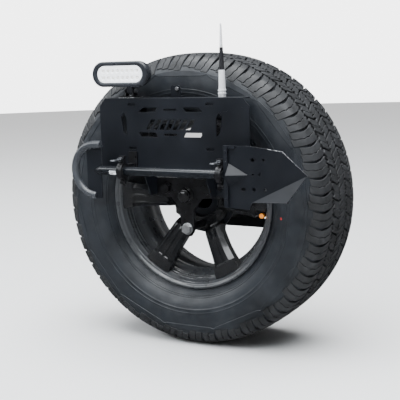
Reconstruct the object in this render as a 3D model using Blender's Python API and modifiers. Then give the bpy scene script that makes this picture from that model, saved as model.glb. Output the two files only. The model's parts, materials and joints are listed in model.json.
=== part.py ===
"""Spare tire carrier: tailgate post, spare wheel, accessory panel, work light, antenna and shovel.

Metres, +Z up. The origin is the centre of the tailgate plate's rear face, which lies in the
XZ plane, and the wheel's outer face looks along -Y. Most parts are laid out in the front
frame: X to the right, Y up and Z outwards, from the wheel's centre, as someone behind the
vehicle sees it. In the names below, up and out are that frame's Y and Z.
"""

import math

import bmesh
import bpy
from mathutils import Vector

# Wheel
WHEEL_OFFSET = 0.165        # from the tailgate to the wheel's centre plane
TYRE_RADIUS = 0.388
TYRE_HALF_WIDTH = 0.135
RIM_RADIUS = 0.236
RIM_HALF_WIDTH = 0.1035
HUB_RADIUS = 0.083
HUB_BORE = 0.050
HUB_BACK = 0.025            # out of the face that seats on the flange
HUB_FRONT = 0.040
STUD_END = 0.051
LUG_RADIUS = 0.1397 / 2
STUD_RADIUS = 0.006
STUD_BORE = 0.0064            # in the nuts, with the studs' clearance
NUT_ANGLES = (90, 210, 330)
STANDOFF_ANGLES = (30, 150, 270)
SPOKE_ANGLES = (-2, 58, 118, 178, 238, 298)
VALVE_RADIUS = 0.2025
VALVE_ANGLE = -8.5
# the barrel's inner wall in front of the well, as (radius, out)
BARREL_INNER_FRONT = [(0.1915, 0.034), (0.2075, 0.056), (0.2118, 0.0900), (0.2200, 0.1000)]

# Tailgate side
PLATE_SIZE = (0.260, 0.220, 0.008)
TAILGATE_HOLES = (0.100, 0.080)
TAILGATE_HOLE_RADIUS = 0.0065
FLANGE_RADIUS = 0.095
FLANGE_THICKNESS = 0.008

# Accessory rack
MOUNT_BACK = 0.112
MOUNT_THICKNESS = 0.006
DOME_UP = 0.020
PANEL_LEFT, PANEL_RIGHT = -0.212, 0.220
PANEL_BOTTOM, PANEL_TOP = 0.085, 0.276
PANEL_FRONT = 0.1915
SHEET = 0.003
PANEL_FLANGE_DEPTH = 0.044
PANEL_SLOT_X = 0.113
PANEL_SLOT_UPS = (0.148, 0.260)
PANEL_STUD_X = 0.110
PANEL_STUD_UPS = (0.118, 0.205)
ARM_WEB_X = 0.088
ARM_BOLT_X, ARM_BOLT_UP = 0.101, 0.040

# Work light
LIGHT_CENTRE = (-0.140, 0.338)
LIGHT_LENGTH, LIGHT_HEIGHT, LIGHT_DEPTH = 0.168, 0.065, 0.040
LIGHT_FRONT = 0.203
LIGHT_PIVOT = (-0.128, 0.294, 0.168)

# Antenna
ANTENNA_X, ANTENNA_OUT = 0.137, 0.168
ANTENNA_TOP = 0.455

# Shovel and clamps
SHAFT_UP, SHAFT_OUT = 0.095, 0.245
SHAFT_RADIUS = 0.0113
BLADE_OUT = 0.2415          # mid-plane of the blade's flat part
BLADE_THICKNESS = 0.0025
BLADE_FOLD = math.radians(28)
BAR_LEFT, BAR_RIGHT = 0.1762, 0.1868
HANDLE_RADIUS = 0.0100      # of the loop's tube
CLAMP_XS = {"left": -0.113, "right": 0.167}
CLAMP_WIDTH = 0.015
CLAMP_INNER, CLAMP_OUTER = 0.0148, 0.0210
CLAMP_HINGE_DROP = 0.029    # from the shaft's axis down to the hinge pin
CLAMP_SCREW_RISE = 0.030    # from the shaft's axis up to the screw

M6_SHANK, M6_HOLE = 0.0030, 0.0034      # radii of a small bolt and of its clearance hole

GAP = 0.0003                # between touching pieces
THROUGH = 0.002             # how far a cutter runs past a face

for old in list(bpy.data.objects):
    bpy.data.objects.remove(old, do_unlink=True)


def new_collection(name):
    collection = bpy.data.collections.new(name)
    bpy.context.scene.collection.children.link(collection)
    return collection


PARTS = new_collection("spare_tire_carrier")
CUTTERS = new_collection("cutters")


def material(name, colour, roughness, metallic=0.0):
    made = bpy.data.materials.new(name)
    made.use_nodes = True
    shader = made.node_tree.nodes["Principled BSDF"]
    shader.inputs["Base Color"].default_value = (*colour, 1.0)
    shader.inputs["Roughness"].default_value = roughness
    shader.inputs["Metallic"].default_value = metallic
    return made


POWDER_BLACK = material("powder_black", (0.020, 0.021, 0.025), 0.45)
GLOSS_BLACK = material("gloss_black", (0.010, 0.010, 0.012), 0.15)
STEEL = material("zinc_steel", (0.55, 0.56, 0.58), 0.35, 1.0)
BLACK_STEEL = material("black_steel", (0.030, 0.030, 0.034), 0.35, 0.8)
TYRE_RUBBER = material("tyre_rubber", (0.030, 0.032, 0.036), 0.75)
RUBBER = material("liner_rubber", (0.015, 0.015, 0.016), 0.8)
LENS = material("lens", (0.92, 0.94, 0.97), 0.1)
BOARD = material("led_board", (0.85, 0.86, 0.84), 0.5)
WHITE_PLASTIC = material("white_plastic", (0.80, 0.81, 0.84), 0.4)
AMBER = material("amber_cap", (0.90, 0.36, 0.06), 0.4)


def empty(name, location, rotation=(0, 0, 0), parent=None):
    made = bpy.data.objects.new(name, None)
    made.location = location
    made.rotation_euler = rotation
    made.parent = parent
    PARTS.objects.link(made)
    return made


FRONT = empty("front_frame", (0, -WHEEL_OFFSET, 0), (math.pi / 2, 0, 0))


def add(name, mesh, finish, parent=FRONT, location=(0, 0, 0), rotation=(0, 0, 0)):
    """Place a mesh as a part."""
    made = bpy.data.objects.new(name, mesh)
    made.parent = parent
    made.location = location
    made.rotation_euler = rotation
    mesh.materials.append(finish)
    PARTS.objects.link(made)
    return made


def mesh_from(name, bm, smooth=False):
    mesh = bpy.data.meshes.new(name)
    bm.to_mesh(mesh)
    bm.free()
    if smooth:
        mesh.shade_smooth()
        mesh.set_sharp_from_angle(angle=math.radians(35))
    return mesh


def box(name, low, high, finish, parent=FRONT):
    """A box between two corners of its parent's frame."""
    low, high = Vector(low), Vector(high)
    bm = bmesh.new()
    bmesh.ops.create_cube(bm, size=1.0)
    bmesh.ops.scale(bm, vec=high - low, verts=bm.verts)
    return add(name, mesh_from(name, bm), finish, parent, (low + high) / 2)


def rod(name, radius, start, end, finish, parent=FRONT, segments=16, end_radius=None):
    """A cylinder, cone or prism from start to end."""
    start, end = Vector(start), Vector(end)
    bm = bmesh.new()
    bmesh.ops.create_cone(bm, cap_ends=True, segments=segments, radius1=radius,
                          radius2=radius if end_radius is None else end_radius,
                          depth=(end - start).length)
    rotation = (end - start).to_track_quat("Z", "Y").to_euler()
    return add(name, mesh_from(name, bm, segments > 8), finish, parent, (start + end) / 2, rotation)


def turned(name, profile, finish, parent=FRONT, location=(0, 0, 0), rotation=(0, 0, 0),
           steps=32, ring=False):
    """A profile of (radius, height), outer side downwards, turned about the local Z axis."""
    bm = bmesh.new()
    points = [bm.verts.new((radius, 0, height)) for radius, height in profile]
    for first, second in zip(points, points[1:] + (points[:1] if ring else [])):
        bm.edges.new((first, second))
    made = add(name, mesh_from(name, bm), finish, parent, location, rotation)
    screw = made.modifiers.new("turn", "SCREW")
    screw.steps = screw.render_steps = steps
    screw.use_merge_vertices = True
    screw.merge_threshold = 0.00001
    screw.use_smooth_shade = True
    return made


def mesh_of_curve(source):
    """The curve's evaluated mesh with its caps welded on; the curve itself is removed."""
    bpy.context.view_layer.update()
    graph = bpy.context.evaluated_depsgraph_get()
    mesh = bpy.data.meshes.new_from_object(source.evaluated_get(graph))
    bm = bmesh.new()
    bm.from_mesh(mesh)
    bmesh.ops.remove_doubles(bm, verts=bm.verts, dist=0.00001)
    bm.to_mesh(mesh)
    bm.free()
    bpy.data.objects.remove(source, do_unlink=True)
    return mesh


def plate(name, outlines, low, high, finish, parent=FRONT, rotation=(0, 0, 0)):
    """A flat plate in the parent's XY plane: its first outline is its edge, the rest are holes."""
    curve = bpy.data.curves.new(name, "CURVE")
    curve.dimensions = "2D"
    curve.fill_mode = "BOTH"
    curve.extrude = (high - low) / 2
    for outline in outlines:
        spline = curve.splines.new("POLY")
        spline.points.add(len(outline) - 1)
        spline.use_cyclic_u = True
        for point, (x, y) in zip(spline.points, outline):
            point.co = (x, y, 0, 1)
    source = bpy.data.objects.new(name, curve)
    PARTS.objects.link(source)
    mesh = mesh_of_curve(source)
    for vertex in mesh.vertices:
        vertex.co.z += (low + high) / 2
    return add(name, mesh, finish, parent, rotation=rotation)


def tube(name, points, radius, finish, parent=FRONT, cyclic=False, sides=2):
    """A round bar along a list of points."""
    curve = bpy.data.curves.new(name, "CURVE")
    curve.dimensions = "3D"
    curve.bevel_depth = radius
    curve.bevel_resolution = sides
    curve.use_fill_caps = not cyclic
    spline = curve.splines.new("POLY")
    spline.points.add(len(points) - 1)
    spline.use_cyclic_u = cyclic
    for point, place in zip(spline.points, points):
        point.co = (*place, 1)
    source = bpy.data.objects.new(name, curve)
    PARTS.objects.link(source)
    return add(name, mesh_of_curve(source), finish, parent)


def spend(piece):
    """Keep a piece only as the tool of a boolean."""
    PARTS.objects.unlink(piece)
    CUTTERS.objects.link(piece)
    piece.hide_render = True
    piece.display_type = "WIRE"


def combine(target, operation, tools):
    for tool in tools:
        spend(tool)
        boolean = target.modifiers.new(operation.lower(), "BOOLEAN")
        boolean.operation = operation
        boolean.object = tool
    return target


def cut(target, *tools):
    return combine(target, "DIFFERENCE", tools)


def join(target, *tools):
    return combine(target, "UNION", tools)


def hole(name, radius, x, up, low, high, parent=FRONT, segments=16):
    return rod(name, radius, (x, up, low), (x, up, high), BLACK_STEEL, parent, segments)


def polar(radius, degrees):
    return (radius * math.cos(math.radians(degrees)), radius * math.sin(math.radians(degrees)))


def arc(centre, radius, start, stop, steps):
    """Points on an arc, from start to stop degrees."""
    spots = [polar(radius, start + (stop - start) * i / steps) for i in range(steps + 1)]
    return [(centre[0] + x, centre[1] + y) for x, y in spots]


def rounded(left, bottom, right, top, radius, steps=4):
    """A rectangle's outline with round corners."""
    corners = ((right - radius, top - radius, 0), (left + radius, top - radius, 90),
               (left + radius, bottom + radius, 180), (right - radius, bottom + radius, 270))
    return [p for x, y, turn in corners for p in arc((x, y), radius, turn, turn + 90, steps)]


def stadium(centre, length, height, steps=10):
    """An outline with two straight sides and two round ends."""
    x, y = centre
    radius = height / 2
    reach = length / 2 - radius
    return (arc((x + reach, y), radius, -90, 90, steps)
            + arc((x - reach, y), radius, 90, 270, steps))


def mirrored(outline):
    return [(-x, y) for x, y in reversed(outline)]


# ---------------------------------------------------------------- tailgate side

def tailgate_plate():
    width, height, thickness = PLATE_SIZE
    back = -WHEEL_OFFSET
    made = plate("tailgate_plate", [rounded(-width / 2, -height / 2, width / 2, height / 2, 0.03)],
                 back, back + thickness, POWDER_BLACK)
    hole_x, hole_up = TAILGATE_HOLES
    corners = [(sx * hole_x, su * hole_up) for sx in (-1, 1) for su in (-1, 1)]
    cut(made, *[hole("tailgate_hole", TAILGATE_HOLE_RADIUS, x, up, back - THROUGH, back + thickness + THROUGH)
                for x, up in corners])


def carrier_post():
    """A tapered hollow post with four welded ribs."""
    back = -WHEEL_OFFSET + PLATE_SIZE[2] + GAP
    front = HUB_BACK - GAP - FLANGE_THICKNESS - GAP
    foot, head, wall = 0.085, 0.058, 0.005
    made = turned("carrier_post", [(head, front), (foot, back), (foot - wall, back),
                                   (head - wall, front)], POWDER_BLACK, steps=32, ring=True)
    reach, rib_height, half = 0.108, 0.075, 0.003
    outline = [(foot - 0.003, back), (reach, back), (reach, back + 0.012),
               (head + 0.012, back + rib_height), (head + 0.006, back + rib_height)]
    ribs = [plate("rib", [outline], -half, half, POWDER_BLACK,
                  rotation=(math.pi / 2, 0, math.radians(turn))) for turn in (45, 135, 225, 315)]
    join(made, *ribs)


def wheel_flange():
    """The flange with its six studs pressed in."""
    front = HUB_BACK - GAP
    back = front - FLANGE_THICKNESS
    made = turned("wheel_flange", [(0.048, front + 0.006), (0.0495, front + 0.005), (0.0495, front),
                                   (FLANGE_RADIUS, front), (FLANGE_RADIUS, back), (0.030, back),
                                   (0.030, front + 0.006)], POWDER_BLACK, steps=24, ring=True)
    studs = []
    for angle in NUT_ANGLES + STANDOFF_ANGLES:
        x, up = polar(LUG_RADIUS, angle)
        studs.append(rod("wheel_stud", STUD_RADIUS, (x, up, back + 0.001), (x, up, STUD_END), STEEL,
                         segments=10))
    join(made, *studs)


# ---------------------------------------------------------------- wheel

def tyre():
    """The carcass: outer contour from front to rear, then the inner one back."""
    bead = [(0.2196, 0.078), (0.2196, 0.0903), (0.2225, 0.0936), (0.2371, 0.0968)]
    sidewall = [(0.2450, 0.1100), (0.272, 0.1280), (0.305, TYRE_HALF_WIDTH), (0.345, 0.1280)]
    shoulder = [(0.371, 0.1170), (0.382, 0.1070), (TYRE_RADIUS, 0.065)]
    half = bead + sidewall + shoulder
    inner = [(0.374, 0.080), (0.350, 0.112), (0.300, 0.120), (0.255, 0.100), (0.232, 0.080)]
    outside = half + [(r, -h) for r, h in reversed(half)]
    inside = [(r, -h) for r, h in reversed(inner)] + inner
    turned("tyre", outside + inside, TYRE_RUBBER, steps=36, ring=True)


def barrel():
    """The rim's outer ring: bead seats and well outside, then the inner side back."""
    lip = [(0.2300, RIM_HALF_WIDTH + 0.001), (RIM_RADIUS, 0.1010), (0.2355, 0.0975),
           (0.2225, 0.0945), (0.2190, 0.0910), (0.2165, 0.066)]
    outside = lip + [(0.2140, 0.055), (0.1980, 0.040), (0.1980, -0.010), (0.2130, -0.046)]
    outside += [(r, -h) for r, h in reversed(lip)]
    inner_rear = [(0.2200, -0.1000), (0.2118, -0.0900), (0.2098, -0.066), (0.2065, -0.046),
                  (0.1915, -0.012)]
    made = turned("rim_barrel", outside + inner_rear + BARREL_INNER_FRONT, GLOSS_BLACK, steps=36,
                  ring=True)
    cut(made, hole("valve_hole", 0.0046, *polar(VALVE_RADIUS, VALVE_ANGLE), 0.030, 0.062))


def spoke(angle):
    """One spoke: a side profile that widens towards the rim."""
    root, tip = 0.066, 0.230
    profile = [(root, HUB_BACK), (root, HUB_FRONT), (0.077, HUB_FRONT), (0.090, 0.069),
               (0.120, 0.079), (0.170, 0.0895), (tip, 0.0965), (tip, 0.066), (0.150, 0.052),
               (0.105, 0.040), (0.096, HUB_BACK)]
    made = plate("spoke", [profile], -1, 1, GLOSS_BLACK,
                 rotation=(math.pi / 2, 0, math.radians(angle)))
    root_half_width, flare = 0.026, 0.018
    for vertex in made.data.vertices:
        along = (vertex.co.x - root) / (tip - root)
        vertex.co.z *= root_half_width + flare * along ** 3
    return made


def spider():
    """Hub and spokes, trimmed to sit just inside the barrel."""
    made = turned("rim_spider", [(HUB_BORE, HUB_FRONT), (HUB_RADIUS, HUB_FRONT), (HUB_RADIUS, HUB_BACK),
                                 (HUB_BORE, HUB_BACK)], GLOSS_BLACK, steps=24, ring=True)
    spokes = [spoke(angle) for angle in SPOKE_ANGLES]
    cut(spokes[0], box("valve_pocket", (0.184, -0.055, 0.0), (0.2100, -0.0205, 0.12), GLOSS_BLACK))
    join(made, *spokes)
    wall = [(radius - GAP, out) for radius, out in BARREL_INNER_FRONT]
    low, high = HUB_BACK - THROUGH, wall[-1][1]
    outline = [(0, high)] + wall[::-1] + [(wall[0][0], low), (0, low)]
    combine(made, "INTERSECT", [turned("trim", outline, GLOSS_BLACK, steps=36)])
    cut(made, *[hole("lug_hole", 0.0075, *polar(LUG_RADIUS, angle), HUB_BACK - THROUGH,
                     HUB_FRONT + THROUGH) for angle in NUT_ANGLES + STANDOFF_ANGLES])


def valve():
    x, up = polar(VALVE_RADIUS, VALVE_ANGLE)
    stem_end, cap_length = 0.074, 0.015
    rod("valve_stem", 0.0040, (x, up, 0.036), (x, up, stem_end), RUBBER, segments=12)
    rod("valve_cap", 0.0066, (x, up, stem_end + GAP), (x, up, stem_end + cap_length), AMBER)


def lug_nut(number, angle):
    """A closed nut: washer face, hexagon and dome, with a blind bore for the stud."""
    x, up = polar(LUG_RADIUS, angle)
    seat = HUB_FRONT + GAP
    made = rod(f"lug_nut_{number}", 0.0125, (x, up, seat), (x, up, seat + 0.014), GLOSS_BLACK, segments=6)
    join(made, rod("nut_washer", 0.0132, (x, up, seat), (x, up, seat + 0.003), GLOSS_BLACK),
         rod("nut_dome", 0.0108, (x, up, seat + 0.013), (x, up, seat + 0.018), GLOSS_BLACK,
             end_radius=0.0075))
    cut(made, hole("nut_bore", STUD_BORE, x, up, seat - THROUGH, STUD_END + 0.001))


def standoff(number, angle):
    """A long round nut on a stud, and the flange bolt in its outer end."""
    x, up = polar(LUG_RADIUS, angle)
    seat, end = HUB_FRONT + GAP, MOUNT_BACK - GAP
    made = rod(f"standoff_{number}", 0.0108, (x, up, seat), (x, up, end), BLACK_STEEL, segments=20)
    cut(made, hole("standoff_bore", STUD_BORE, x, up, seat - THROUGH, STUD_END + 0.003),
        hole("standoff_thread", 0.0046, x, up, 0.0940, end + THROUGH))
    face = MOUNT_BACK + MOUNT_THICKNESS + GAP
    bolt = rod(f"standoff_bolt_{number}", 0.0158, (x, up, face), (x, up, face + 0.0025), STEEL,
               segments=24)
    join(bolt, rod("bolt_head", 0.0138, (x, up, face + 0.002), (x, up, face + 0.011), STEEL, segments=6),
         rod("bolt_shank", 0.0042, (x, up, 0.0960), (x, up, face + 0.001), STEEL, segments=12))


# ---------------------------------------------------------------- accessory rack

def mount_plate():
    right = [(0.116, 0.064), (0.118, 0.060), (0.118, 0.020), (0.116, 0.016), (0.046, 0.012),
             (0.021, -0.020), (0.019, -0.078), (0.010, -0.090)]
    outline = right + mirrored(right)
    front = MOUNT_BACK + MOUNT_THICKNESS
    made = plate("mount_plate", [outline], MOUNT_BACK, front, BLACK_STEEL)
    spots = [(*polar(LUG_RADIUS, angle), 0.0047) for angle in STANDOFF_ANGLES]
    spots += [(0, DOME_UP, 0.0056)]
    spots += [(side * ARM_BOLT_X, ARM_BOLT_UP, M6_HOLE) for side in (-1, 1)]
    cut(made, *[hole("mount_hole", r, x, up, MOUNT_BACK - THROUGH, front + THROUGH)
                for x, up, r in spots])


def centre_dome_bolt():
    """A large domed hand bolt whose shank passes the mount plate into a welded nut."""
    face = MOUNT_BACK + MOUNT_THICKNESS + GAP
    dome = [(0.019 * math.cos(math.radians(a)), 0.016 + 0.014 * math.sin(math.radians(a)))
            for a in (90, 70, 50, 30, 10)]
    rings = [(0.0190, 0.012), (0.0172, 0.0112), (0.0172, 0.0090), (0.0190, 0.0082), (0.0190, 0.003),
             (0.0215, 0.0025), (0.0215, 0.0), (0.0050, 0.0), (0.0050, -0.022), (0.0, -0.022)]
    dome[0] = (0.0, dome[0][1])
    turned("centre_dome_bolt", dome + rings, BLACK_STEEL, location=(0, DOME_UP, face), steps=18)


def panel_arm(side, name):
    """A bent bracket: rear foot on the mount plate, web, and front flange behind the panel."""
    back = MOUNT_BACK + MOUNT_THICKNESS + GAP
    front = PANEL_FRONT - SHEET - GAP

    def wall(inner, outer, low, high, near, far):
        xs = sorted((side * inner, side * outer))
        return box("wall", (xs[0], low, near), (xs[1], high, far), POWDER_BLACK)

    made = wall(ARM_WEB_X, 0.116, 0.020, 0.060, back, back + SHEET)
    made.name = name
    outline = [(back, 0.020), (back, 0.060), (0.150, 0.105), (0.160, 0.268), (front, 0.268),
               (front, 0.092), (0.150, 0.020)]
    xs = sorted((side * ARM_WEB_X, side * (ARM_WEB_X + SHEET)))
    # the web's outline is (out, up), so local X turns to out and local Z to -x
    web = plate("web", [outline], -xs[1], -xs[0], POWDER_BLACK, rotation=(0, -math.pi / 2, 0))
    join(made, web, wall(ARM_WEB_X, 0.126, 0.095, 0.268, front - SHEET, front))
    x, up = side * ARM_BOLT_X, ARM_BOLT_UP
    cuts = [hole("arm_hole", M6_HOLE, x, up, back - THROUGH, back + SHEET + THROUGH)]
    cuts += [hole("flange_hole", M6_HOLE, side * PANEL_STUD_X, spot, front - SHEET - THROUGH,
                  front + THROUGH) for spot in PANEL_STUD_UPS]
    cut(made, *cuts)
    head = back + SHEET + GAP
    bolt = rod(f"arm_bolt_{name.split('_')[-1]}", 0.0062, (x, up, head), (x, up, head + 0.005),
               STEEL, segments=6)
    join(bolt, rod("bolt_shank", M6_SHANK, (x, up, 0.104), (x, up, head + 0.001), STEEL, segments=12))


def panel_cutouts():
    """Accessory slots, slanted vents, side vents and a row of plain slanting bars."""
    cutouts = [rounded(x - 0.011, up - 0.0035, x + 0.011, up + 0.0035, 0.003, 2)
               for x in (-PANEL_SLOT_X, PANEL_SLOT_X) for up in PANEL_SLOT_UPS]
    upper = [(0.038, 0.252), (0.080, 0.252), (0.094, 0.241), (0.044, 0.241)]
    lower = [(0.044, 0.189), (0.094, 0.189), (0.086, 0.178), (0.038, 0.178)]
    side = [(0.138, 0.238), (0.146, 0.229), (0.140, 0.190), (0.130, 0.179), (0.130, 0.225)]
    for outline in (upper, lower, side):
        cutouts += [outline, mirrored(outline)]
    cutouts += [rounded(-0.019, up - 0.0025, 0.019, up + 0.0025, 0.0012, 2) for up in (0.2465, 0.1835)]
    bars, pitch, lean = 7, 0.0190, 0.0075
    for i in range(bars):
        x = (i - (bars - 1) / 2) * pitch
        cutouts.append([(x - 0.0065 - lean, 0.196), (x + 0.0065 - lean, 0.196),
                        (x + 0.0065 + lean, 0.222), (x - 0.0065 + lean, 0.222)])
    return cutouts


def accessory_panel():
    chamfer_x, chamfer_up = 0.018, 0.021
    outline = [(PANEL_LEFT, PANEL_BOTTOM), (PANEL_RIGHT, PANEL_BOTTOM),
               (PANEL_RIGHT, PANEL_TOP - chamfer_up), (PANEL_RIGHT - chamfer_x, PANEL_TOP),
               (PANEL_LEFT + chamfer_x, PANEL_TOP), (PANEL_LEFT, PANEL_TOP - chamfer_up)]
    made = plate("accessory_panel", [outline], PANEL_FRONT - SHEET, PANEL_FRONT, POWDER_BLACK)
    flange = box("top_flange", (PANEL_LEFT + chamfer_x, PANEL_TOP - SHEET, PANEL_FRONT - PANEL_FLANGE_DEPTH),
                 (PANEL_RIGHT - chamfer_x, PANEL_TOP, PANEL_FRONT - 0.0005), POWDER_BLACK)
    join(made, flange)
    cut(made, plate("cutouts", panel_cutouts(), PANEL_FRONT - SHEET - THROUGH, PANEL_FRONT + THROUGH, STEEL))
    low, high = PANEL_TOP - SHEET - THROUGH, PANEL_TOP + THROUGH
    drops = ((LIGHT_PIVOT[0], LIGHT_PIVOT[2], M6_HOLE), (ANTENNA_X, ANTENNA_OUT, 0.0054))
    cut(made, *[rod("flange_hole", r, (x, low, out), (x, high, out), STEEL) for x, out, r in drops])


def panel_stud(number, x, up):
    """A stud welded to the panel's rear face, with its nut behind the arm's flange."""
    front = PANEL_FRONT - SHEET - GAP
    nut_front = front - SHEET - GAP
    made = rod(f"panel_stud_{number}", 0.0062, (x, up, nut_front - 0.005), (x, up, nut_front),
               BLACK_STEEL, segments=6)
    join(made, rod("stud", M6_SHANK, (x, up, nut_front - 0.009), (x, up, front), BLACK_STEEL, segments=12))


def accessory_tab():
    """A small angle on the top flange, with a bolt through its upright."""
    base = PANEL_TOP + GAP
    made = box("accessory_tab", (-0.012, base, 0.146), (0.018, base + SHEET, 0.166), POWDER_BLACK)
    upright = plate("upright", [rounded(-0.010, base, 0.017, 0.306, 0.005)], 0.163, 0.166, POWDER_BLACK)
    x, up = 0.010, 0.298
    join(made, upright)
    cut(made, hole("tab_hole", 0.0030, x, up, 0.160, 0.170))
    bolt = rod("tab_bolt", 0.0052, (x, up, 0.166 + GAP), (x, up, 0.171), STEEL, segments=6)
    join(bolt, rod("bolt_shank", 0.0026, (x, up, 0.150), (x, up, 0.168), STEEL, segments=12))


# ---------------------------------------------------------------- work light

def work_light():
    """The lamp on its swivelling foot. The pan axis is upright, the tilt axis runs along X."""
    pivot = empty("light_pivot", LIGHT_PIVOT, parent=FRONT)
    x, up, out = LIGHT_PIVOT
    base = PANEL_TOP + GAP - up
    washer = box("light_base_washer", (-0.024, base, -0.018), (0.024, base + 0.0015, 0.0215), STEEL, pivot)
    foot_base = base + 0.0015 + GAP
    foot = box("light_foot", (-0.022, foot_base, -0.016), (0.022, foot_base + SHEET, 0.019),
               BLACK_STEEL, pivot)
    ears = []
    for side in (-1, 1):
        xs = sorted((side * 0.0095, side * 0.0130))
        outline = [(0.013, foot_base)] + arc((0, 0), 0.0075, 0, 180, 6) + [(-0.013, foot_base)]
        ears.append(plate("ear", [outline], -xs[1], -xs[0], BLACK_STEEL, pivot,
                          rotation=(0, -math.pi / 2, 0)))
    join(foot, *ears)
    top, bottom = foot_base + SHEET, base - SHEET - GAP
    for piece in (foot, washer):
        cut(piece, rod("base_hole", M6_HOLE, (0, bottom, 0), (0, top + THROUGH, 0), STEEL, pivot))
    cut(foot, rod("pivot_hole", 0.0033, (-0.02, 0, 0), (0.02, 0, 0), STEEL, pivot))
    bolt = rod("light_base_bolt", 0.0060, (0, top + GAP, 0), (0, top + 0.0025, 0), STEEL, pivot)
    join(bolt, rod("bolt_shank", M6_SHANK, (0, bottom - 0.008, 0), (0, top + 0.001, 0), STEEL, pivot,
                   segments=12))
    axle = rod("light_pivot_bolt", 0.0029, (-0.0165, 0, 0), (0.0140, 0, 0), STEEL, pivot, segments=16)
    join(axle, rod("bolt_head", 0.0058, (0.0133, 0, 0), (0.0175, 0, 0), STEEL, pivot, segments=16),
         rod("bolt_nut", 0.0058, (-0.0175, 0, 0), (-0.0133, 0, 0), STEEL, pivot, segments=6))
    lamp(pivot)


def lamp(pivot):
    """Oval housing with a lug, front bezel, lens and LED board."""
    x, up = LIGHT_CENTRE[0] - LIGHT_PIVOT[0], LIGHT_CENTRE[1] - LIGHT_PIVOT[1]
    front = LIGHT_FRONT - LIGHT_PIVOT[2]
    back, joint_plane = front - LIGHT_DEPTH, front - 0.0050
    centre = (x, up)
    shell = plate("light_housing", [stadium(centre, LIGHT_LENGTH, LIGHT_HEIGHT)], back,
                  joint_plane - GAP, BLACK_STEEL, pivot)
    for vertex in shell.data.vertices:
        if vertex.co.z < (back + joint_plane) / 2:
            vertex.co.x = x + (vertex.co.x - x) * 0.93
            vertex.co.y = up + (vertex.co.y - up) * 0.80
    lug = plate("lug", [[(0.0078, 0.016)] + [(-0.0078, 0.016)] + arc((0, 0), 0.0078, 180, 360, 8)],
                -0.0088, 0.0088, BLACK_STEEL, pivot, rotation=(0, -math.pi / 2, 0))
    join(shell, lug)
    floor = back + 0.007
    pocket = plate("pocket", [stadium(centre, LIGHT_LENGTH - 0.020, LIGHT_HEIGHT - 0.020)], floor,
                   joint_plane + THROUGH, BLACK_STEEL, pivot)
    cut(shell, pocket, rod("pivot_hole", 0.0033, (-0.02, 0, 0), (0.02, 0, 0), STEEL, pivot))
    plate("light_bezel", [stadium(centre, LIGHT_LENGTH, LIGHT_HEIGHT),
                          stadium(centre, 0.1400, 0.0440)], joint_plane, front, BLACK_STEEL, pivot)
    plate("light_lens", [stadium(centre, 0.1394, 0.0434)], joint_plane - 0.001, front - 0.0008, LENS, pivot)
    plate("light_led_board", [stadium(centre, 0.1380, 0.0400)], floor + GAP, floor + 0.002, BOARD, pivot)


# ---------------------------------------------------------------- antenna

def antenna():
    """Turned pieces stacked upwards on the top flange."""
    root = empty("antenna_root", (ANTENNA_X, PANEL_TOP, ANTENNA_OUT), (-math.pi / 2, 0, 0), FRONT)
    base_top = 0.066
    body, collar = 0.0086, 0.0102
    collars = [(body, 0.020), (collar, 0.0190), (collar, 0.0150), (body, 0.0140), (body, 0.0120),
               (collar, 0.0110), (collar, 0.0070), (0.0095, 0.0060)]
    turned("antenna_base", [(0, base_top), (0.0066, base_top), (0.0076, base_top - 0.002)] + collars
           + [(0.0095, GAP), (0.0050, GAP), (0.0050, -0.012), (0, -0.012)], WHITE_PLASTIC, root, steps=14)
    sleeve_top = base_top + 0.055
    turned("antenna_sleeve", [(0, sleeve_top), (0.0046, sleeve_top), (0.0063, base_top + GAP),
                              (0, base_top + GAP)], BLACK_STEEL, root, steps=16)
    tip_top = ANTENNA_TOP - PANEL_TOP
    turned("antenna_tip", [(0, tip_top), (0.0020, tip_top - 0.002), (0.0040, sleeve_top + GAP),
                           (0, sleeve_top + GAP)], WHITE_PLASTIC, root, steps=16)
    nut = rod("antenna_nut", 0.0105, (0, 0, -SHEET - 0.0045), (0, 0, -SHEET - GAP), STEEL, root, segments=6)
    cut(nut, rod("nut_bore", 0.0053, (0, 0, -0.02), (0, 0, 0), STEEL, root))


# ---------------------------------------------------------------- shovel

def shovel_shaft(axis):
    """Along the axis frame's X, with a tapered left end that the handle plate slots into."""
    left, right = -0.197, BAR_LEFT - GAP
    made = turned("shovel_shaft", [(0, right), (SHAFT_RADIUS, right), (SHAFT_RADIUS, left + 0.020),
                                   (0.0030, left), (0, left)], POWDER_BLACK, axis,
                  rotation=(0, math.pi / 2, 0), steps=24)
    cut(made, box("plate_slot", (-0.25, -0.03, -0.0018), (-0.1772, 0.03, 0.0018), STEEL, axis))


def shovel_handle(axis):
    """A flat web plate and the tube loop welded round it."""
    left, right, bottom, top, corner = -0.2220, -0.1775, -0.073, 0.066, 0.022
    outline = [(right, bottom), (right, top)] + arc((left + corner, top - corner), corner, 90, 180, 4)
    outline += arc((left + corner, bottom + corner), corner, 180, 270, 4)
    plate("shovel_handle_plate", [outline], -0.0015, 0.0015, POWDER_BLACK, axis)
    centre_x, radius = -0.194, 0.066
    line = [(-0.1765, radius, 0)] + [(x, up, 0) for x, up in arc((centre_x, 0), radius, 90, 268, 20)]
    loop = tube("shovel_handle_loop", line, HANDLE_RADIUS, POWDER_BLACK, axis)
    slot = [(right + 0.02, bottom - 0.0004), (right + 0.02, top + 0.0004)]
    slot += arc((left + corner, top - corner), corner + 0.0004, 90, 180, 4)
    slot += arc((left + corner, bottom + corner), corner + 0.0004, 180, 270, 4)
    cut(loop, plate("plate_slot", [slot], -0.0018, 0.0018, STEEL, axis))


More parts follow.
